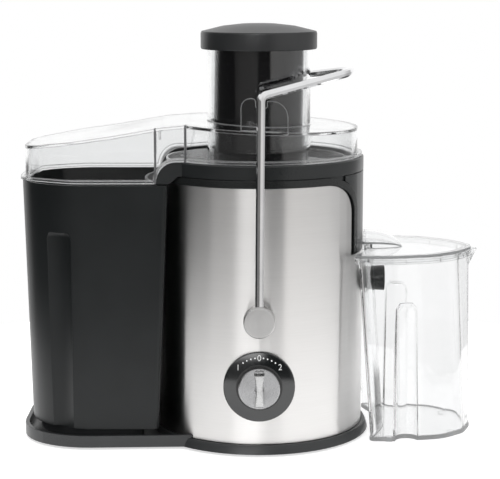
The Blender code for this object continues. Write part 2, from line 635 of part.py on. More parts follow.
def make_jug(jug_parent, lid_parent):
    low = hugging(list(reversed(JUG_LOW_PLAN)), JUG_LOW_R, 1)
    high = hugging(list(reversed(JUG_HIGH_PLAN)), JUG_HIGH_R, 1)
    look = {"colour": CLEAR, "roughness": 0.05}
    jug = vessel("jug", lambda t: blend(low, high, t), 0.0, JUG_TOP, JUG_WALL, 2.6,
                 (113.0, 51.0, 9.0, 104.5), levels=2, **look)
    rim = prism("jug_rim", inset(high, -2.4), JUG_TOP - 4.6, JUG_TOP - 0.06)
    under = prism("jug_rim_channel", inset(high, -1.5), JUG_TOP - 9, JUG_TOP - 1.2)
    cut(under, prism("jug_rim_root", inset(high, -0.2), JUG_TOP - 12, JUG_TOP + 5))
    for i, (x, near) in enumerate(((84.5, 30), (111.5, 0), (137.8, 0), (157.9, 0))):
        for side in (-1, 1):
            low_y, high_y = min(side * near, side * 60), max(side * near, side * 60)
            cut(under, block(f"jug_gusset_{i}_{side}", (x - 0.45, low_y, JUG_TOP - 12),
                             (x + 0.45, high_y, JUG_TOP + 5)))
    cut(rim, prism("jug_rim_inside", inset(high, 1.0), JUG_TOP - 9, JUG_TOP + 5), under)
    bead = prism("jug_bead", inset(low, -0.9), 0.3, 3.2)
    cut(bead, prism("jug_bead_inside", inset(low, 1.0), -5.0, 9.0))
    for side in (-1, 1):
        cut(bead, rod(f"jug_bead_gap_{side}", 9.4, -5.0, 9.0, SMALL, centre=(113.0, side * 51.0, 0)))
    join(jug, rim, bead)
    beak = [[(162.4, -6.0 * wide, z), (tip, -half, z), (tip, half, z), (162.4, 6.0 * wide, z)]
            for z, wide, tip, half in ((129.0, 0.35, 164.2, 1.0), (JUG_TOP - 0.01, 1.0, 169.9, 2.2))]
    join(jug, loft("jug_beak", beak))
    scoop = [[(160.0, -4.6 * wide, z), (tip, -0.8, z), (tip, 0.8, z), (160.0, 4.6 * wide, z)]
             for z, wide, tip in ((131.5, 0.3, 162.8), (JUG_TOP + 1.0, 1.0, 168.2))]
    cut(jug, loft("jug_scoop", scoop))
    notch = rod("jug_notch", NOTCH_R, 70, 112, 28, "X", (0, 0, SPOUT_Z - 1.0))
    join(notch, block("notch_top", (70, -NOTCH_R, SPOUT_Z - 1.0), (112, NOTCH_R, JUG_TOP + 8)))
    cut(jug, notch)
    for i, (x, y) in enumerate([(100, -43), (100, 43), (149, -27), (149, 27)]):
        join(jug, rod(f"jug_foot_{i}", 3.0, -FOOT_H, 1.0, 12, centre=(x, y, 0)))
    jug.parent = jug_parent
    cover = prism("jug_lid", inset(high, -1.8), JUG_TOP + GAP, JUG_TOP + 2.1, **look)
    soft = hugging([(x, y, max(r, 9.0)) for x, y, r in reversed(JUG_HIGH_PLAN)], JUG_HIGH_R, 1)
    join(cover, prism("jug_lid_plug", inset(soft, JUG_WALL + 0.5), JUG_TOP - 4.0, JUG_TOP + 1.0))
    cut(cover, prism("jug_lid_plug_inside", inset(soft, JUG_WALL + 2.1), JUG_TOP - 9.0, JUG_TOP + GAP))
    join(cover, hood("jug_lid_hood", 0.0))
    cut(cover, hood("jug_lid_hood_inside", 1.6))
    cut(cover, block("jug_lid_gap", (70, -9.0, JUG_TOP - 6), (90.2, 9.0, JUG_TOP + 0.6)))
    cover.parent = lid_parent


def hood(name, thin):
    """Raised quarter dome over the jug's notch, highest beside the body and running out to the right."""
    rings = []
    floor = JUG_TOP + 0.5
    for turn in steps_between(0.0, 80.0, 8):
        share = math.sin(math.radians(turn))
        size = math.cos(math.radians(turn))
        x = HOOD_LEFT + HOOD_LENGTH * share
        wide = HOOD_HALF * (0.35 + 0.65 * size) - thin
        tall = max(0.1, HOOD_HEIGHT * size - thin)
        arch = [(x, wide * math.cos(a), floor + tall * math.sin(a)) for a in steps_between(0, math.pi, 12)]
        drop = floor - (8.0 if thin else 0.1)
        rings.append([(x, wide, drop)] + arch + [(x, -wide, drop)])
    if thin:
        rings.insert(0, [(HOOD_LEFT - 20.0, y, z) for _, y, z in rings[0]])
    return loft(name, rings)


# ---------------------------------------------------------------- motor and electrics
def make_motor(parent):
    iron = {"colour": IRON, "roughness": 0.5, "metallic": 1.0}
    zinc = {"colour": (0.45, 0.45, 0.46), "roughness": 0.5, "metallic": 1.0}
    copper = {"colour": COPPER, "roughness": 0.4, "metallic": 1.0}
    brass = {"colour": BRASS, "roughness": 0.35, "metallic": 1.0}
    plastic = {"colour": (0.75, 0.74, 0.70), "roughness": 0.5}
    yoke = [(-35.0, -33.0, 6.0), (35.0, -33.0, 6.0), (35.0, 33.0, 6.0), (-35.0, 33.0, 6.0)]
    stator = prism("stator_core", rounded(yoke, 3), CORE_LOW, CORE_TOP, **iron)
    window = block("stator_window", (-27.5, -28.0, 30), (27.5, 28.0, 90))
    for side in (-1, 1):
        low_y, high_y = sorted((side * 21.0, side * 29.0))
        cut(window, block(f"pole_{side}", (-14, low_y, 20), (14, high_y, 100)))
    cut(stator, window, rod("stator_bore", 22.3, 30, 90, MEDIUM))
    for name, side in (("field_coil_front", -1), ("field_coil_rear", 1)):
        low_y, high_y = sorted((side * 23.0, side * 27.6))
        coil = block(name, (-26.8, low_y, CORE_LOW - 10), (26.8, high_y, CORE_TOP + 8), **copper)
        low_y, high_y = sorted((side * 15.0, side * 35.0))
        cut(coil, block(name + "_eye", (-14.4, low_y, CORE_LOW - 0.5), (14.4, high_y, CORE_TOP + 0.5)))
    upper = block("upper_end_frame", (-56, -9, 93), (56, 9, 98.6), **zinc)
    for side in (-1, 1):
        low_x, high_x = sorted((side * 30.5, side * 34.5))
        join(upper, block(f"frame_leg_{side}", (low_x, -8, CORE_TOP + GAP), (high_x, 8, 95)))
    join(upper, rod("upper_boss", 13, 91.6, 101.5, 20))
    cut(upper, rod("upper_seat", 8.3, 80, 110, SMALL))
    lower = block("lower_end_frame", (-34.5, -9, 9), (34.5, 9, 14), **zinc)
    for side in (-1, 1):
        low_x, high_x = sorted((side * 30.5, side * 34.5))
        join(lower, block(f"lower_leg_{side}", (low_x, -8, 11), (high_x, 8, CORE_LOW - GAP)))
    join(lower, rod("lower_boss", 12, 7.5, 14.5, 20))
    cut(lower, rod("lower_seat", 8.3, 0, 20, SMALL))
    ring("upper_bearing", SHAFT_R + 0.2, 8.0, 92, 99, SMALL, colour=STEEL, roughness=0.25, metallic=1.0)
    ring("lower_bearing", SHAFT_R + 0.2, 8.0, 8, 14, SMALL, colour=STEEL, roughness=0.25, metallic=1.0)
    for name, x in (("motor_grommet_left", -48), ("motor_grommet_right", 48)):
        ring(name, 2.5, 7.0, 98.9, DECK_Z - GAP, SMALL, centre=(x, 0, 0), colour=(0.03, 0.03, 0.03), roughness=0.8)
    for name, side in (("front", 1), ("rear", -1)):
        lay = Matrix.Translation((0, 0, 22 * MM)) @ Matrix.Rotation(side * math.pi / 2, 4, "X")
        holder = prism(f"brush_holder_{name}", [(-4.6, -4.6), (4.6, -4.6), (4.6, 4.6), (-4.6, 4.6)], 13.5, 22.6,
                       **brass)
        bore = block(f"holder_bore_{name}", (-3.3, -3.3, 5), (3.3, 3.3, 40))
        brush = prism(f"carbon_brush_{name}", [(-3, -3), (3, -3), (3, 3), (-3, 3)], 11.9, 21.0,
                      colour=(0.03, 0.03, 0.035), roughness=0.7)
        for piece in (holder, bore, brush):
            piece.data.transform(lay)
        cut(holder, bore)
    turned("shaft_seal", [(SHAFT_R + 0.3, 114), (16.7, 114), (16.7, 119), (7, 119), (SHAFT_R + 0.3, 117)], 20,
           colour=(0.03, 0.03, 0.03), roughness=0.8)
    rotor = [
        rod("motor_shaft", SHAFT_R, 6.8, 141, SMALL, **zinc),
        turned("armature_winding_upper", [(4.3, 74.3), (18.0, 74.3), (17.0, 80.5), (13, 83), (4.3, 83)],
               16, **copper),
        turned("armature_winding_lower", [(4.3, 28.6), (13, 28.6), (17.0, 31), (18.0, 35.7), (4.3, 35.7)],
               16, **copper),
        ring("commutator", 4.3, 11.6, 17.2, 28.2, 16, **brass),
    ]
    outline = []
    for i in range(8):
        for r, a in ((12.5, -4), (CORE_R, -4), (CORE_R, -14), (CORE_R, -24), (CORE_R, -34), (CORE_R, -41), (12.5, -41)):
            angle = math.radians(45 * i - a)
            outline.append((r * math.cos(angle), r * math.sin(angle)))
    core = prism("armature_core", outline, CORE_LOW, CORE_TOP, **iron)
    cut(core, rod("core_bore", 4.3, 20, 90, SMALL))
    fan = ring("cooling_fan", 4.3, 10, 84, 91, 16, **plastic)
    join(fan, ring("fan_plate", 8, 29, 84, 85.4, 24))
    for i in range(6):
        blade = block(f"blade_{i}", (12, -0.8, 84.8), (28, 0.8, 89.8))
        blade.rotation_euler.z = math.radians(60 * i)
        join(fan, blade)
    star = []
    for i in range(6):
        for r, a in ((12.0, 0), (12.0, 24), (9.0, 30), (9.0, 54)):
            angle = math.radians(60 * i + a)
            star.append((r * math.cos(angle), r * math.sin(angle)))
    coupling = prism("drive_coupling", star, 127, 147.5, colour=(0.8, 0.8, 0.78), roughness=0.5)
    cut(coupling, rod("coupling_bore", SHAFT_R + GAP, 120, 141.4, SMALL))
    for part in rotor + [core, fan, coupling]:
        part.parent = parent
    block("circuit_board", (-24, 55.0, 34), (24, 56.6, 70), colour=(0.05, 0.22, 0.08), roughness=0.5)
    block("suppression_capacitor", (-9, 56.9, 40), (9, 66, 54), colour=(0.75, 0.6, 0.1), roughness=0.5)
    block("interlock_switch", (10, -66, 84), (30, -59.5, 96), colour=(0.03, 0.03, 0.03), roughness=0.5)
    turned("cord_gland", [(3.4, 74), (8.5, 74), (8.5, 76.4), (5.8, 76.4), (5.8, 81.4), (8.6, 81.4),
                          (8.6, 83.4), (5.2, 88.0), (3.4, 88.0)], SMALL, "Y", (0, 0, 24.0),
           colour=(0.02, 0.02, 0.02), roughness=0.7)


def empty(name, x=0.0, y=0.0, z=0.0):
    obj = bpy.data.objects.new(name, None)
    obj.location = (x * MM, y * MM, z * MM)
    bpy.context.collection.objects.link(obj)
    return obj


clear_scene()
axes = {
    "rotor_axis": empty("rotor_axis"),
    "bail_axis": empty("bail_axis", z=PIVOT_Z),
    "dial_axis": empty("dial_axis", z=DIAL_Z),
    "pusher_axis": empty("pusher_axis"),
    "bin_axis": empty("bin_axis"),
    "jug_axis": empty("jug_axis"),
}
make_base()
make_housing()
make_bowl()
make_sieve(axes["rotor_axis"])
make_lid()
make_pusher(axes["pusher_axis"])
make_bail(axes["bail_axis"])
make_dial(axes["dial_axis"])
make_bin(axes["bin_axis"])
make_jug(axes["jug_axis"], axes["jug_axis"])
make_motor(axes["rotor_axis"])

# The frame empty carries everything that has no parent of its own.
frame = empty("juicer_frame", FRAME_X, FRAME_Y, FOOT_H)
for obj in bpy.data.objects:
    if obj.parent is None and obj is not frame:
        obj.parent = frame
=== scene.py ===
import math

import bmesh
import bpy
from mathutils import Matrix, Vector


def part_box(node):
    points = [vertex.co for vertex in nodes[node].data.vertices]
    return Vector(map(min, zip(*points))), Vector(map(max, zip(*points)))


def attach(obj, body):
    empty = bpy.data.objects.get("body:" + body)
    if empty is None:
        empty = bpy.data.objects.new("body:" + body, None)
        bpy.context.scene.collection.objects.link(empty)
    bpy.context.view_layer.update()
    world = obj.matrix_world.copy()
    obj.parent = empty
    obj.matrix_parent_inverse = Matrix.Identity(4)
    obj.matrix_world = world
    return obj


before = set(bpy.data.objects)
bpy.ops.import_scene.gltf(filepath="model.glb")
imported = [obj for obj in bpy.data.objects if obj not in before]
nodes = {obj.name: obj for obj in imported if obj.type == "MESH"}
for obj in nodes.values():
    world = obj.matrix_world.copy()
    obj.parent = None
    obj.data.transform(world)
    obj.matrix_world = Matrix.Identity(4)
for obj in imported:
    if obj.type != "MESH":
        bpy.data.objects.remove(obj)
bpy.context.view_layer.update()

MM = 0.001
WRAP_RADIUS = 80.9 * MM

# Centres in metres, read from the CAD pieces
wrap_low, wrap_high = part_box("steel_wrap")
AXIS_X = wrap_low.x + WRAP_RADIUS
AXIS_Y = (wrap_low.y + wrap_high.y) / 2
bezel_low, bezel_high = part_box("dial_bezel")
DIAL_X = (bezel_low.x + bezel_high.x) / 2
DIAL_Z = (bezel_low.z + bezel_high.z) / 2
BEZEL_FACE = bezel_low.y
hub_low, hub_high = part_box("bail_hub_front")
HUB_X = (hub_low.x + hub_high.x) / 2
HUB_Z = (hub_low.z + hub_high.z) / 2


# ------------------------------------------------------------------ node materials
class Finish:
    """A node material round one Principled shader. Settings that never vary go straight on its sockets."""

    def __init__(self, name, **constants):
        self.material = bpy.data.materials.new(name)
        self.material.use_nodes = True
        self.tree = self.material.node_tree
        self.shader = self.tree.nodes["Principled BSDF"]
        self.output = self.tree.nodes["Material Output"]
        for socket, value in constants.items():
            self.shader.inputs[socket.replace("_", " ")].default_value = value

    def node(self, kind, links=(), **settings):
        made = self.tree.nodes.new("ShaderNode" + kind)
        for name, value in settings.items():
            setattr(made, name, value)
        for socket, value in dict(links).items():
            self.feed(made.inputs[socket], value)
        return made

    def feed(self, socket, value):
        if isinstance(value, bpy.types.NodeSocket):
            self.tree.links.new(value, socket)
        else:
            socket.default_value = value

    def maths(self, operation, first, second=0.0):
        return self.node("Math", {0: first, 1: second}, operation=operation).outputs[0]

    def point(self):
        return self.node("TexCoord").outputs["Object"]

    def noise(self, scale, detail=2.0, rough=0.5, vector=None):
        links = {"Vector": vector or self.point(), "Scale": scale, "Detail": detail, "Roughness": rough}
        return self.node("TexNoise", links).outputs[0]

    def spread(self, value, low, high, start=0.3, end=0.7):
        links = {"Value": value, "From Min": start, "From Max": end, "To Min": low, "To Max": high}
        return self.node("MapRange", links).outputs[0]

    def mix(self, share, first, second):
        made = self.node("Mix", {0: share, 6: first, 7: second}, data_type="RGBA")
        return made.outputs[2]

    def around(self, centre, axis="Z"):
        """Angle, radius and position along a line through centre, for patterns that run round it."""
        offset = self.node("VectorMath", {0: self.point(), 1: centre}, operation="SUBTRACT").outputs[0]
        parts = self.node("SeparateXYZ", {0: offset}).outputs
        a, b, along = {"Z": (0, 1, 2), "Y": (0, 2, 1), "X": (1, 2, 0)}[axis]
        angle = self.maths("ARCTAN2", parts[b], parts[a])
        square = self.maths("ADD", self.maths("MULTIPLY", parts[a], parts[a]),
                            self.maths("MULTIPLY", parts[b], parts[b]))
        return angle, self.maths("SQRT", square), parts[along], offset

    def vector(self, x=0.0, y=0.0, z=0.0):
        return self.node("CombineXYZ", {0: x, 1: y, 2: z}).outputs[0]

    def rounded_normal(self, radius):
        return self.node("Bevel", {"Radius": radius}, samples=4).outputs[0]

    def edges(self, rounded, reach=0.3):
        """1 on sharp edges and 0 on open faces, from how far the rounded normal leans away."""
        face = self.node("NewGeometry").outputs["Normal"]
        lean = self.node("VectorMath", {0: rounded, 1: face}, operation="DOT_PRODUCT").outputs["Value"]
        return self.spread(lean, 1.0, 0.0, 1.0 - reach, 1.0)

    def bump(self, height, strength, distance, normal=None):
        links = {"Height": height, "Strength": strength, "Distance": distance}
        if normal is not None:
            links["Normal"] = normal
        return self.node("Bump", links).outputs[0]

    def set(self, **links):
        for socket, value in links.items():
            self.feed(self.shader.inputs[socket.replace("_", " ")], value)
        return self.material


def shade(colour, factor):
    return tuple(min(1.0, c * factor) for c in colour[:3]) + (1.0,)


def moulded(name, colour, roughness, grain=0.5, pitch=0.0005, wear=1.5, edge=0.0005, level=0.5):
    """Injection-moulded plastic: spark-eroded grain, uneven sheen from handling, edges rubbed paler."""
    f = Finish(name, Specular_IOR_Level=level, IOR=1.5)
    fine = f.noise(1.0 / pitch, 1.0, 0.6)
    cloudy = f.noise(38.0, 3.0, 0.6)
    smears = f.noise(9.0, 2.0, 0.5)
    base = f.mix(f.spread(cloudy, 0.0, 1.0), shade(colour, 0.90), shade(colour, 1.12))
    soft = f.rounded_normal(edge)
    rubbed = f.maths("MULTIPLY", f.edges(soft), f.spread(f.noise(160.0, 3.0), 0.35, 1.0))
    base = f.mix(f.maths("MULTIPLY", rubbed, 0.55), base, shade(colour, 1.0 + wear))
    gloss = f.maths("ADD", f.spread(smears, roughness - 0.045, roughness + 0.045),
                    f.spread(fine, -0.03, 0.03))
    gloss = f.maths("SUBTRACT", gloss, f.maths("MULTIPLY", rubbed, 0.08))
    return f.set(Base_Color=base, Roughness=gloss, Normal=f.bump(fine, grain, 0.00004, soft))


def glossy(name, colour, roughness=0.08, wear=0.8, edge=0.0005, coat=0.0, level=0.5, gap=None):
    """Polished plastic: hairline scuffs and a faint waviness, no grain.

    gap is (centre, radius) of a knob; inside that radius the colour is painted near black and made duller,
    a painted shade for the narrow gap round it."""
    f = Finish(name, Specular_IOR_Level=level, IOR=1.52, Coat_Weight=coat, Coat_Roughness=0.05)
    waves = f.noise(26.0, 2.0)
    scuffs = f.noise(420.0, 4.0, 0.75)
    soft = f.rounded_normal(edge)
    base = f.mix(f.spread(waves, 0.0, 1.0), shade(colour, 0.88), shade(colour, 1.14))
    base = f.mix(f.maths("MULTIPLY", f.edges(soft), 0.5), base, shade(colour, 1.0 + wear))
    gloss = f.maths("ADD", f.spread(scuffs, roughness - 0.02, roughness + 0.05, 0.35, 0.75),
                    f.spread(waves, 0.0, 0.03))
    # Painted shade: a dark, duller ring round the knob stands in for the shadow in its gap
    if gap:
        radius = f.around(gap[0], "Y")[1]
        dull = f.spread(radius, 1.0, 0.0, gap[1], gap[1] + 0.0003)
        base = f.mix(dull, base, (0.0015, 0.0015, 0.0015, 1.0))
        gloss = f.maths("ADD", gloss, f.maths("MULTIPLY", dull, 0.5))
    height = f.maths("ADD", f.maths("MULTIPLY", waves, 0.8), f.maths("MULTIPLY", scuffs, 0.04))
    return f.set(Base_Color=base, Roughness=gloss, Normal=f.bump(height, 0.12, 0.0004, soft))


def brushed_sheet(name):
    """Stainless sheet rolled round the motor, brushed round the axis, with its seam at the back."""
    f = Finish(name, Metallic=1.0, Anisotropic=0.92, Anisotropic_Rotation=0.25)
    angle, radius, height, offset = f.around((AXIS_X, AXIS_Y, 0.0))

    def drawn_round(per_turn, per_metre):
        return f.vector(f.maths("MULTIPLY", angle, per_turn), f.maths("MULTIPLY", height, per_metre))

    hair = f.noise(1.0, 2.0, 0.6, drawn_round(5.0, 5200.0))
    lines = f.noise(1.0, 3.0, 0.6, drawn_round(2.4, 900.0))
    bands = f.noise(1.0, 2.0, 0.5, drawn_round(1.1, 120.0))
    prints = f.noise(22.0, 3.0, 0.55)
    tone = f.maths("ADD", f.spread(lines, 0.0, 0.5), f.spread(bands, 0.0, 0.3))
    tone = f.maths("ADD", tone, f.spread(hair, 0.0, 0.2))
    base = f.mix(tone, (0.715, 0.705, 0.695, 1.0), (0.755, 0.745, 0.735, 1.0))
    back = f.maths("ABSOLUTE", f.maths("SUBTRACT", angle, math.pi / 2))
    seam = f.spread(back, 1.0, 0.0, 0.002, 0.005)
    base = f.mix(seam, base, (0.10, 0.10, 0.10, 1.0))
    soft = f.rounded_normal(0.0004)
    base = f.mix(f.maths("MULTIPLY", f.edges(soft), 0.7), base, (0.86, 0.85, 0.84, 1.0))
    gloss = f.maths("ADD", f.spread(lines, 0.285, 0.295), f.spread(prints, -0.008, 0.008))
    relief = f.maths("ADD", bands, f.maths("MULTIPLY", lines, 0.3))
    relief = f.maths("SUBTRACT", relief, f.maths("MULTIPLY", seam, 2.0))
    run = f.node("VectorMath", {0: (0.0, 0.0, 1.0), 1: offset}, operation="CROSS_PRODUCT").outputs[0]
    run = f.node("VectorMath", {0: run}, operation="NORMALIZE").outputs[0]
    return f.set(Base_Color=base, Roughness=gloss, Tangent=run, Normal=f.bump(relief, 0.015, 0.00003, soft))


def spun(name, centre, axis, colour=(0.62, 0.62, 0.63), roughness=0.30, anisotropic=0.6, raised=None):
    """Metal finished on a lathe: fine rings about an axis, brighter rubbed rims.

    raised is (position along the axis, colour) of a part in front, painted in that brighter colour as a
    painted highlight."""
    f = Finish(name, Metallic=1.0, Anisotropic=anisotropic)
    angle, radius, height, offset = f.around(centre, axis)
    rings = f.noise(1.0, 3.0, 0.7, f.vector(f.maths("MULTIPLY", radius, 3600.0),
                                            f.maths("MULTIPLY", angle, 0.6),
                                            f.maths("MULTIPLY", height, 900.0)))
    cloudy = f.noise(90.0, 2.0)
    base = f.mix(f.spread(rings, 0.0, 1.0), shade(colour, 0.94), shade(colour, 1.06))
    base = f.mix(f.maths("MULTIPLY", f.spread(cloudy, 0.0, 1.0), 0.15), base, shade(colour, 0.82))
    soft = f.rounded_normal(0.0004)
    base = f.mix(f.edges(soft), base, (0.92, 0.92, 0.92, 1.0))
    # Painted highlight: the part in front of the given position is painted brighter
    if raised:
        front = f.spread(height, 1.0, 0.0, raised[0] - 0.0001, raised[0] + 0.0001)
        base = f.mix(front, base, (*raised[1], 1.0))
    gloss = f.maths("ADD", f.spread(rings, roughness - 0.05, roughness + 0.05),
                    f.spread(cloudy, -0.02, 0.03))
    along = {"Z": (0.0, 0.0, 1.0), "Y": (0.0, 1.0, 0.0), "X": (1.0, 0.0, 0.0)}[axis]
    run = f.node("VectorMath", {0: along, 1: offset}, operation="CROSS_PRODUCT").outputs[0]
    run = f.node("VectorMath", {0: run}, operation="NORMALIZE").outputs[0]
    return f.set(Base_Color=base, Roughness=gloss, Tangent=run, Normal=f.bump(rings, 0.05, 0.00003, soft))


def chrome(name):
    """Polished chrome on bent wire: near mirror, with faint drawing marks and fingerprints."""
    f = Finish(name, Metallic=1.0)
    marks = f.noise(130.0, 4.0, 0.7)
    prints = f.noise(45.0, 3.0, 0.6)
    base = f.mix(f.spread(prints, 0.0, 1.0), (0.80, 0.80, 0.81, 1.0), (0.90, 0.90, 0.905, 1.0))
    gloss = f.maths("ADD", f.spread(prints, 0.03, 0.09), f.spread(marks, 0.0, 0.03))
    return f.set(Base_Color=base, Roughness=gloss,
                 Normal=f.bump(marks, 0.03, 0.0001, f.rounded_normal(0.0003)))


def metal(name, colour, roughness, pitch=0.0008, wear=1.3):
    """Plain machined or cast metal for the inner pieces: mottled tone, fine scratches, bright edges."""
    f = Finish(name, Metallic=1.0)
    mottle = f.noise(140.0, 3.0, 0.6)
    grain = f.noise(1.0 / pitch, 3.0, 0.65)
    soft = f.rounded_normal(0.0003)
    base = f.mix(f.spread(mottle, 0.0, 1.0), shade(colour, 0.78), shade(colour, 1.12))
    base = f.mix(f.maths("MULTIPLY", f.edges(soft), 0.6), base, shade(colour, wear))
    gloss = f.maths("ADD", f.spread(mottle, roughness - 0.06, roughness + 0.08),
                    f.spread(grain, -0.03, 0.03))
    return f.set(Base_Color=base, Roughness=gloss, Normal=f.bump(grain, 0.35, 0.00006, soft))


def laminated(name):
    """Stack of thin iron sheets: half-millimetre plates along the axis, dark varnish between them."""
    f = Finish(name, Metallic=0.85)
    angle, radius, height, offset = f.around((AXIS_X, AXIS_Y, 0.0))
    plates = f.maths("PINGPONG", height, 0.0005)
    gap = f.spread(plates, 1.0, 0.0, 0.0, 0.00014)
    rust = f.noise(150.0, 4.0, 0.7)
    base = f.mix(f.spread(rust, 0.0, 1.0), (0.20, 0.20, 0.21, 1.0), (0.31, 0.29, 0.27, 1.0))
    base = f.mix(f.maths("MULTIPLY", gap, 0.8), base, (0.05, 0.045, 0.04, 1.0))
    gloss = f.spread(rust, 0.38, 0.58)
    return f.set(Base_Color=base, Roughness=gloss,
                 Normal=f.bump(f.maths("SUBTRACT", 1.0, gap), 0.5, 0.0001, f.rounded_normal(0.0003)))


def wound(name):
    """Enamelled copper wire laid in turns round the axis, with painted shade in the grooves between turns.
    """
    f = Finish(name, Metallic=0.9, Coat_Weight=0.4, Coat_Roughness=0.2)
    angle, radius, height, offset = f.around((AXIS_X, AXIS_Y, 0.0))
    turns = f.maths("PINGPONG", f.maths("ADD", height, f.maths("MULTIPLY", radius, 0.6)), 0.00035)
    groove_and_shade = f.spread(turns, 0.0, 1.0, 0.0, 0.00022)
    patch = f.noise(180.0, 3.0, 0.6)
    base = f.mix(f.spread(patch, 0.0, 1.0), (0.50, 0.19, 0.075, 1.0), (0.70, 0.31, 0.13, 1.0))
    # Painted shade: the grooves between turns are painted darker
    base = f.mix(groove_and_shade, (0.16, 0.05, 0.02, 1.0), base)
    return f.set(Base_Color=base, Roughness=f.spread(patch, 0.26, 0.42), Normal=f.bump(groove_and_shade, 0.7, 0.0002))


def rubber(name, colour=(0.018, 0.018, 0.019)):
    """Soft black rubber: dull, dusty in the hollows, with a skin of fine pores."""
    f = Finish(name, Specular_IOR_Level=0.35, Sheen_Weight=0.06, Sheen_Roughness=0.5)
    pores = f.noise(1700.0, 3.0, 0.7)
    dust = f.noise(70.0, 4.0, 0.65)
    base = f.mix(f.spread(dust, 0.0, 1.0), shade(colour, 0.8), shade(colour, 2.1))
    return f.set(Base_Color=base, Roughness=f.spread(pores, 0.66, 0.86),
                 Normal=f.bump(pores, 0.4, 0.00005, f.rounded_normal(0.0004)))


def circuit(name):
    """Green lacquered board with paler copper tracks and solder pads."""
    f = Finish(name, Coat_Weight=0.5, Coat_Roughness=0.15)
    cells = f.node("TexVoronoi", {"Vector": f.point(), "Scale": 260.0},
                   feature="DISTANCE_TO_EDGE").outputs[0]
    pads = f.node("TexVoronoi", {"Vector": f.point(), "Scale": 170.0}).outputs["Distance"]
    base = f.mix(f.spread(cells, 1.0, 0.0, 0.02, 0.05), (0.018, 0.10, 0.035, 1.0), (0.06, 0.22, 0.08, 1.0))
    base = f.mix(f.spread(pads, 1.0, 0.0, 0.10, 0.14), base, (0.62, 0.60, 0.55, 1.0))
    return f.set(Base_Color=base, Roughness=f.spread(cells, 0.30, 0.45, 0.0, 0.1),
                 Normal=f.bump(cells, 0.3, 0.0001))


def sieve(name, centre, rows):
    """Etched stainless: rows of small drain holes round the axis, drawn as dark pits of painted shade."""
    f = Finish(name, Metallic=1.0, Anisotropic=0.4)
    angle, radius, height, offset = f.around(centre)
    level = f.maths("MULTIPLY", f.maths("ADD", height, radius), rows)
    turn = f.maths("MULTIPLY", angle, 180.0 / math.tau * 2.0)
    shift = f.maths("MULTIPLY", f.maths("FLOOR", level), 0.5)
    u = f.maths("SUBTRACT", f.maths("FRACT", f.maths("ADD", turn, shift)), 0.5)
    v = f.maths("SUBTRACT", f.maths("FRACT", level), 0.5)
    reach = f.maths("SQRT", f.maths("ADD", f.maths("MULTIPLY", u, u), f.maths("MULTIPLY", v, v)))
    pit = f.spread(reach, 1.0, 0.0, 0.24, 0.30)
    cloudy = f.noise(60.0, 3.0)
    base = f.mix(f.spread(cloudy, 0.0, 1.0), (0.52, 0.51, 0.50, 1.0), (0.68, 0.67, 0.66, 1.0))
    # Painted shade: the holes are painted near black
    base = f.mix(pit, base, (0.03, 0.03, 0.03, 1.0))
    gloss = f.spread(cloudy, 0.24, 0.36)
    return f.set(Base_Color=base, Roughness=gloss,
                 Normal=f.bump(f.maths("SUBTRACT", 1.0, pit), 0.5, 0.0001, f.rounded_normal(0.0003)))


# The lid's thick upright corners are in its front wall, in front of this line
FRONT_WALL_Y = -44.0 * MM


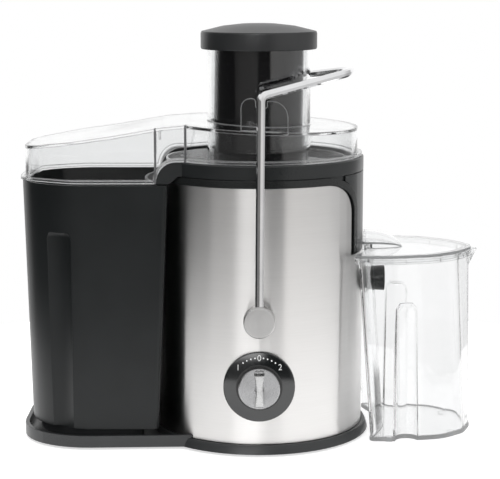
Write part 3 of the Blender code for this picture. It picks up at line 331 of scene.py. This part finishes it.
def clear(name, tint, painted_edge_grey, edge_clear, radius, band=None, lines=(), roughness=0.015, ior=1.49):
    """Clear moulded plastic: slight flow waves, hairline scuffs, and edges painted grey as painted shade
    and highlight. Lamps shine through it.

    band is (low, high, shade, floor shade) of a lip whose sides are painted as a grey line: painted shade.
    The floor shade is painted shade on level faces up to the lip. lines are (x, half width) of thick
    upright corners in the front wall, painted dark as painted shade because light from behind doesn't come
    through them."""
    f = Finish(name, Transmission_Weight=1.0, IOR=ior)
    flow = f.noise(34.0, 2.0)
    scuffs = f.noise(520.0, 4.0, 0.8)
    haze = f.noise(60.0, 3.0, 0.6)
    soft = f.rounded_normal(radius)
    rim = f.edges(soft, 0.2)
    parts = f.node("SeparateXYZ", {0: f.point()}).outputs
    dark = 0.0
    for middle, half in lines:
        away = f.maths("ABSOLUTE", f.maths("SUBTRACT", parts[0], middle))
        dark = f.maths("MAXIMUM", dark, f.spread(away, 1.0, 0.0, half, half + 0.0003))
    if lines:
        forward = f.spread(parts[1], 1.0, 0.0, FRONT_WALL_Y - 1.0 * MM, FRONT_WALL_Y)
        dark = f.maths("MULTIPLY", dark, forward)
    if band:
        low, high, lip_shade, floor_shade = band
        up = f.node("SeparateXYZ", {0: f.node("NewGeometry").outputs["True Normal"]}).outputs[2]
        side = f.spread(f.maths("ABSOLUTE", up), 1.0, 0.0, 0.5, 0.7)
        inside = f.maths("MULTIPLY", f.spread(parts[2], 0.0, 1.0, low, low + 0.1 * MM),
                         f.spread(parts[2], 1.0, 0.0, high - 0.1 * MM, high))
        bead = f.maths("MULTIPLY", side, inside)
        rim = f.maths("MAXIMUM", rim, bead)
    base = f.mix(f.spread(haze, 0.0, 1.0), (*tint, 1.0), shade(tint, 0.985))
    # Painted shade and highlight: the edges are painted grey
    base = f.mix(rim, base, (*painted_edge_grey, 1.0))
    if band:
        # Painted shade: level faces up to the lip are painted darker
        flat = f.maths("MULTIPLY", f.spread(side, 1.0, 0.0, 0.0, 1.0),
                       f.spread(parts[2], 1.0, 0.0, high, high + 2.0 * MM))
        base = f.mix(flat, base, shade(tint, floor_shade))
        # Painted shade: the lip's sides are painted as a grey line
        base = f.mix(bead, base, shade(painted_edge_grey, lip_shade))
    # Painted shade: the lid's thick front corners are painted dark
    if lines:
        base = f.mix(dark, base, (0.14, 0.14, 0.145, 1.0))
        rim = f.maths("MAXIMUM", rim, dark)
    gloss = f.maths("ADD", f.spread(scuffs, roughness, roughness + 0.03, 0.55, 0.8),
                    f.spread(haze, 0.0, 0.012))
    gloss = f.maths("ADD", gloss, f.maths("MULTIPLY", rim, 0.45))
    height = f.maths("ADD", f.maths("MULTIPLY", flow, 1.0), f.maths("MULTIPLY", scuffs, 0.01))
    f.set(Base_Color=base, Roughness=gloss, Normal=f.bump(height, 0.06, 0.0006, soft),
          Transmission_Weight=f.spread(rim, 1.0, edge_clear, 0.0, 1.0))
    path = f.node("LightPath").outputs["Is Shadow Ray"]
    through = f.node("BsdfTransparent", {"Color": (0.93, 0.935, 0.94, 1.0)}).outputs[0]
    both = f.node("MixShader", {0: path, 1: f.shader.outputs[0], 2: through}).outputs[0]
    f.feed(f.output.inputs["Surface"], both)
    return f.material


def printed(name):
    """White pad-printed ink: a little uneven and slightly raised."""
    f = Finish(name, Specular_IOR_Level=0.4)
    cover = f.noise(900.0, 3.0, 0.6)
    base = f.mix(f.spread(cover, 0.0, 1.0), (0.74, 0.75, 0.75, 1.0), (0.88, 0.88, 0.87, 1.0))
    return f.set(Base_Color=base, Roughness=f.spread(cover, 0.40, 0.55), Normal=f.bump(cover, 0.2, 0.00003))


# ------------------------------------------------------------------ finishes of the CAD pieces
HUB_CENTRE = (HUB_X, 0.0, HUB_Z)
DIAL_CENTRE = (DIAL_X, 0.0, DIAL_Z)
MOTOR_CENTRE = (AXIS_X, AXIS_Y, 0.0)

bin_plastic = moulded("bin_plastic", (0.0085, 0.0098, 0.0102), 0.36, grain=0.35, wear=1.4, level=0.30)
base_plastic = moulded("base_plastic", (0.021, 0.0225, 0.0235), 0.34, grain=0.3, wear=1.6)
bowl_plastic = moulded("bowl_plastic", (0.013, 0.0145, 0.015), 0.31, grain=0.3, wear=1.4)
cap_plastic = moulded("cap_plastic", (0.022, 0.023, 0.024), 0.40, grain=0.5, wear=1.2, level=0.6)
trim_plastic = moulded("trim_plastic", (0.010, 0.011, 0.011), 0.28, grain=0.2, wear=1.6)
gloss_black = glossy("gloss_black", (0.004, 0.004, 0.0045), 0.05)
# The bezel's ring round the knob is painted dark: painted shade
bezel_black = glossy("bezel_black", (0.005, 0.006, 0.0065), 0.12, level=0.85, gap=(DIAL_CENTRE, 17.0 * MM))
housing_plastic = moulded("housing_plastic", (0.012, 0.012, 0.013), 0.45, grain=0.4)
steel = brushed_sheet("brushed_steel_sheet")
hub_silver = spun("hub_silver", HUB_CENTRE, "Y", (0.53, 0.525, 0.52), 0.42, 0.2)
# The grip at the front of the knob is painted brighter: a painted highlight
knob_silver = spun("knob_silver", DIAL_CENTRE, "Y", (0.35, 0.35, 0.355), 0.27, 0.7,
                   (BEZEL_FACE - 5.2 * MM, (0.48, 0.48, 0.48)))
shaft_steel = spun("shaft_steel", MOTOR_CENTRE, "Z", (0.55, 0.55, 0.55), 0.25)
chrome_finish = chrome("chrome_finish")
screw_steel = metal("screw_steel", (0.52, 0.52, 0.53), 0.32)
sieve_steel = sieve("sieve_steel_etched", MOTOR_CENTRE, 900.0)
rim_steel = spun("rim_steel", MOTOR_CENTRE, "Z", (0.62, 0.62, 0.62), 0.22)
iron = laminated("iron_laminations")
copper = wound("copper_wire")
brass = metal("brass_cast", (0.62, 0.44, 0.17), 0.3)
zinc = metal("zinc_cast", (0.44, 0.44, 0.45), 0.48, 0.0012)
pale_plastic = moulded("pale_nylon", (0.70, 0.69, 0.64), 0.45, grain=0.4, wear=0.1)
inner_plastic = moulded("inner_black", (0.020, 0.020, 0.021), 0.5, grain=0.5)
board = circuit("board_green_lacquer")
rubber_black = rubber("rubber_black")
# The clear pieces' grey edges are painted shade and highlight, set by these colours
lid_clear = clear("lid_clear", (0.93, 0.935, 0.937), (0.52, 0.525, 0.53), 0.35, 0.0012,
                  lines=((-71.0 * MM, 0.6 * MM), (-48.6 * MM, 0.8 * MM)))
jug_foot, jug_top = (corner.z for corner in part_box("jug"))
# The jug's lip and bottom, and the cover's lip, are painted darker here: painted shade
jug_clear = clear("jug_clear", (0.972, 0.975, 0.977), (0.70, 0.705, 0.71), 0.6, 0.0009,
                  (jug_foot + 2.2 * MM, jug_foot + 5.3 * MM, 0.42, 0.90))
cover_clear = clear("cover_clear", (0.965, 0.968, 0.97), (0.30, 0.305, 0.31), 0.4, 0.0006,
                    (jug_top + 0.1 * MM, jug_top + 2.3 * MM, 1.0, 1.0))
ink = printed("ink_white")

FINISHES = {
    "base_tray": base_plastic, "juice_bowl": bowl_plastic, "spout_shroud": bowl_plastic,
    "pulp_container": bin_plastic, "pusher_cap": cap_plastic, "trim_strip_front": trim_plastic,
    "trim_strip_rear": trim_plastic, "juice_spout": trim_plastic, "pusher_body": gloss_black,
    "dial_bezel": bezel_black, "motor_housing": housing_plastic, "steel_wrap": steel,
    "bail_hub_front": hub_silver, "bail_hub_rear": hub_silver, "dial_knob": knob_silver,
    "bail_wire": chrome_finish, "pivot_pin_front": screw_steel, "pivot_pin_rear": screw_steel,
    "dial_spindle": screw_steel, "motor_shaft": shaft_steel, "upper_bearing": shaft_steel,
    "lower_bearing": shaft_steel, "filter_mesh": sieve_steel, "filter_rim": rim_steel,
    "grater_disc": sieve_steel, "filter_hub": inner_plastic, "stator_core": iron, "armature_core": iron,
    "field_coil_front": copper, "field_coil_rear": copper, "armature_winding_upper": copper,
    "armature_winding_lower": copper, "commutator": brass, "brush_holder_front": brass,
    "brush_holder_rear": brass, "carbon_brush_front": inner_plastic, "carbon_brush_rear": inner_plastic,
    "upper_end_frame": zinc, "lower_end_frame": zinc, "cooling_fan": pale_plastic,
    "drive_coupling": pale_plastic, "rotary_switch": pale_plastic, "suppression_capacitor": pale_plastic,
    "interlock_switch": inner_plastic, "circuit_board": board, "cord_gland": rubber_black,
    "shaft_seal": rubber_black, "motor_grommet_left": rubber_black, "motor_grommet_right": rubber_black,
    "lid": lid_clear, "jug": jug_clear, "jug_lid": cover_clear,
}
for name in nodes:
    if name.startswith("foot_"):
        FINISHES[name] = rubber_black
    elif name.startswith("base_screw_"):
        FINISHES[name] = screw_steel


def soften(obj, angle):
    """Smooth shading over the CAD facets, sharp where faces meet steeply. No vertex of the mesh moves."""
    if obj.data.has_custom_normals:
        obj.data.attributes.remove(obj.data.attributes["custom_normal"])
    obj.data.shade_smooth()
    weld = obj.modifiers.new("Weld", "WELD")
    weld.merge_threshold = 0.000002
    split = obj.modifiers.new("Edges", "EDGE_SPLIT")
    split.split_angle = math.radians(angle)
    even = obj.modifiers.new("Normals", "WEIGHTED_NORMAL")
    even.weight = 60
    even.keep_sharp = True


for name, obj in nodes.items():
    obj.data.materials.clear()
    obj.data.materials.append(FINISHES[name])
    soften(obj, 32)


# ------------------------------------------------------------------ added pieces
def finished(name, bm, material, body):
    bmesh.ops.recalc_face_normals(bm, faces=bm.faces)
    mesh = bpy.data.meshes.new(name)
    bm.to_mesh(mesh)
    bm.free()
    mesh.materials.append(material)
    obj = bpy.data.objects.new(name, mesh)
    bpy.context.scene.collection.objects.link(obj)
    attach(obj, body)
    return obj


def digit(text, height, thick):
    """Mesh of one figure, centred on the origin, facing -Y."""
    curve = bpy.data.curves.new("figure", "FONT")
    curve.body = text
    curve.size = height / 0.7
    curve.extrude = thick
    curve.offset = -0.07 * MM
    curve.resolution_u = 6
    curve.align_x = "CENTER"
    maker = bpy.data.objects.new("figure", curve)
    bpy.context.scene.collection.objects.link(maker)
    bpy.context.view_layer.update()
    mesh = bpy.data.meshes.new_from_object(maker)
    low = min(v.co.y for v in mesh.vertices)
    high = max(v.co.y for v in mesh.vertices)
    bm = bmesh.new()
    bm.from_mesh(mesh)
    bmesh.ops.translate(bm, vec=(0, -(low + high) / 2, 0), verts=bm.verts)
    bmesh.ops.rotate(bm, cent=(0, 0, 0), matrix=Matrix.Rotation(math.pi / 2, 3, "X"), verts=bm.verts)
    bpy.data.objects.remove(maker)
    bpy.data.curves.remove(curve)
    bpy.data.meshes.remove(mesh)
    return bm


# The bezel's face falls away outside the flat ring that the knob sits in
BEZEL_SLOPE = 2.1 / 9.0
BEZEL_FLAT_R = 17.0 * MM
SCALE_R = 20.9 * MM
SCALE_Z = DIAL_Z + 1.4 * MM
FIGURES = (("1", -48.5), ("0", 0.0), ("2", 47.8))
FIGURE_HEIGHT = 4.4 * MM
DOT_R = 0.56 * MM
DOT_TURNS = (8.6, 17.2, 26.0, 34.8)
INK_DEPTH = 0.05 * MM


def on_scale(degrees):
    """Point on the scale's arc, at this turn from straight up."""
    a = math.radians(degrees)
    return Vector((DIAL_X + SCALE_R * math.sin(a), BEZEL_FACE - INK_DEPTH, SCALE_Z + SCALE_R * math.cos(a)))


def dial_scale():
    """The dial's scale, printed on the bezel: 1 and 2 either side of 0, four dots between each."""
    scale = bmesh.new()
    for text, degrees in FIGURES:
        figure = digit(text, FIGURE_HEIGHT, INK_DEPTH)
        bmesh.ops.translate(figure, vec=on_scale(degrees), verts=figure.verts)
        mesh = bpy.data.meshes.new("figure")
        figure.to_mesh(mesh)
        figure.free()
        scale.from_mesh(mesh)
        bpy.data.meshes.remove(mesh)
    for side in (-1, 1):
        for degrees in DOT_TURNS:
            turn = Matrix.Translation(on_scale(side * degrees)) @ Matrix.Rotation(math.pi / 2, 4, "X")
            bmesh.ops.create_cone(scale, cap_ends=True, segments=20, radius1=DOT_R, radius2=DOT_R,
                                  depth=2 * INK_DEPTH, matrix=turn)
    for v in scale.verts:
        reach = math.hypot(v.co.x - DIAL_X, v.co.z - DIAL_Z)
        v.co.y += max(0.0, reach - BEZEL_FLAT_R) * BEZEL_SLOPE
    return finished("dial_scale", scale, ink, "motor_body")


dial_scale()


# ------------------------------------------------------------------ stage, light and camera
FLOOR_RADIUS, FLOOR_GLOW, CARD_GLOW = 0.45, 0.57, 3.6
FLOOR_THROUGH_GLASS = 1.03
CAMERA_PLACE, CAMERA_TILT, CAMERA_LENS = (-0.00075, -1.2373, 0.3577), 80.5, 116.1

# Brightness of the surroundings by turn in degrees: 0 is in front of the juicer, 90 its right, 180 behind
SURROUNDINGS = (
    (-180, 1.06), (-135, 1.06), (-127, 0.30), (-116, 0.04), (-58, 0.03), (-52, 0.19), (-6, 0.23), (0, 0.05),
    (24, 0.05), (29, 0.72), (100, 0.66), (116, 0.42), (134, 0.5), (143, 1.06), (180, 1.06),
)
WARM_FROM, WARM_TO, WARM_BLUE = -58, 30, 0.97


def make_floor():
    """Pale round floor. Clear pieces show it as bright as the backdrop behind them."""
    bm = bmesh.new()
    bmesh.ops.create_circle(bm, cap_ends=True, segments=96, radius=FLOOR_RADIUS)
    mesh = bpy.data.meshes.new("studio_floor")
    bm.to_mesh(mesh)
    bm.free()
    floor = bpy.data.objects.new("studio_floor", mesh)
    bpy.context.scene.collection.objects.link(floor)
    floor.location.z = -0.0001
    f = Finish("studio_floor", Specular_IOR_Level=0.0, Roughness=1.0)
    f.set(Base_Color=(0.90, 0.90, 0.90, 1.0))
    f.shader.inputs["Emission Color"].default_value = (1.0, 1.0, 1.0, 1.0)
    f.shader.inputs["Emission Strength"].default_value = FLOOR_GLOW
    glass = {"Color": (1.0, 1.0, 1.0, 1.0), "Strength": FLOOR_THROUGH_GLASS}
    plain = f.node("Emission", glass).outputs[0]
    through = f.node("LightPath").outputs["Is Transmission Ray"]
    both = f.node("MixShader", {0: through, 1: f.shader.outputs[0], 2: plain}).outputs[0]
    f.feed(f.output.inputs["Surface"], both)
    mesh.materials.append(f.material)


def make_world():
    """Soft studio surroundings: pale, with the dark gaps between softboxes that glossy pieces show."""
    world = bpy.data.worlds.new("studio")
    bpy.context.scene.world = world
    world.use_nodes = True
    tree = world.node_tree
    background = tree.nodes["Background"]

    def maths(operation, first, second=0.0):
        made = tree.nodes.new("ShaderNodeMath")
        made.operation = operation
        for socket, value in zip(made.inputs, (first, second)):
            if isinstance(value, bpy.types.NodeSocket):
                tree.links.new(value, socket)
            else:
                socket.default_value = value
        return made.outputs[0]

    def ramped(value, start, end):
        made = tree.nodes.new("ShaderNodeMapRange")
        tree.links.new(value, made.inputs["Value"])
        made.inputs["From Min"].default_value = start
        made.inputs["From Max"].default_value = end
        return made.outputs[0]

    def mixed(share, first, second):
        made = tree.nodes.new("ShaderNodeMix")
        made.data_type = "RGBA"
        tree.links.new(share, made.inputs[0])
        tree.links.new(first, made.inputs[6])
        made.inputs[7].default_value = (second, second, second, 1.0)
        return made.outputs[2]

    direction = tree.nodes.new("ShaderNodeTexCoord").outputs["Generated"]
    parts = tree.nodes.new("ShaderNodeSeparateXYZ")
    tree.links.new(direction, parts.inputs[0])
    turn = maths("ARCTAN2", parts.outputs[0], maths("MULTIPLY", parts.outputs[1], -1.0))
    place = maths("ADD", maths("DIVIDE", turn, math.tau), 0.5)
    ramp = tree.nodes.new("ShaderNodeValToRGB")
    tree.links.new(place, ramp.inputs[0])
    band = ramp.color_ramp
    for degrees, value in SURROUNDINGS[1:-1]:
        band.elements.new(degrees / 360 + 0.5)
    for element, (degrees, value) in zip(band.elements, SURROUNDINGS):
        warm = WARM_BLUE if WARM_FROM < degrees < WARM_TO else 1.0
        element.color = (value, value * (warm + 1) / 2, value * warm, 1.0)

    # Up is 1 overhead and -1 straight below
    up = parts.outputs[2]
    glow = mixed(ramped(up, 0.34, 0.56), ramp.outputs[0], 0.90)
    # A small lamp card in front, above the camera: only faces that lean back catch it
    card = maths("MULTIPLY", ramped(turn, -0.50, -0.36), ramped(turn, 0.10, 0.02))
    card = maths("MULTIPLY", card, maths("MULTIPLY", ramped(up, 0.10, 0.16), ramped(up, 0.50, 0.40)))
    glow = mixed(ramped(up, -0.30, -0.38), glow, 0.06)
    glow = mixed(card, glow, CARD_GLOW)
    # The camera itself sees plain white
    seen = tree.nodes.new("ShaderNodeLightPath").outputs["Is Camera Ray"]
    tree.links.new(mixed(seen, glow, 1.0), background.inputs["Color"])
    background.inputs["Strength"].default_value = 1.0


def softbox(name, place, aim, size, power, colour=(1.0, 1.0, 1.0)):
    light = bpy.data.lights.new(name, "AREA")
    light.shape = "RECTANGLE"
    light.size, light.size_y = size
    light.energy = power
    light.color = colour
    obj = bpy.data.objects.new(name, light)
    bpy.context.scene.collection.objects.link(obj)
    obj.location = place
    obj.rotation_euler = (Vector(aim) - Vector(place)).to_track_quat("-Z", "Y").to_euler()
    obj.visible_glossy = False
    obj.visible_camera = False
    obj.visible_transmission = False


make_floor()
make_world()
softbox("softbox_over", (0.0, -0.2, 1.6), (0.0, 0.0, 0.1), (1.6, 1.2), 4.0)
softbox("softbox_right", (1.3, -0.9, 0.7), (0.0, 0.0, 0.15), (0.8, 1.1), 6.0)
softbox("softbox_left", (-1.2, -0.9, 0.6), (0.0, 0.0, 0.15), (0.5, 1.1), 3.0)

camera = bpy.data.cameras.new("camera")
camera.lens = CAMERA_LENS
camera.sensor_width = 36.0
camera.clip_start = 0.01
camera_object = bpy.data.objects.new("camera", camera)
bpy.context.scene.collection.objects.link(camera_object)
camera_object.location = CAMERA_PLACE
camera_object.rotation_euler = (math.radians(CAMERA_TILT), 0.0, 0.0)
bpy.context.scene.camera = camera_object

scene = bpy.context.scene
scene.view_settings.view_transform = "Standard"
scene.view_settings.look = "None"
scene.cycles.max_bounces = 20
scene.cycles.transmission_bounces = 20
scene.cycles.transparent_max_bounces = 24
scene.cycles.glossy_bounces = 8
scene.cycles.diffuse_bounces = 4
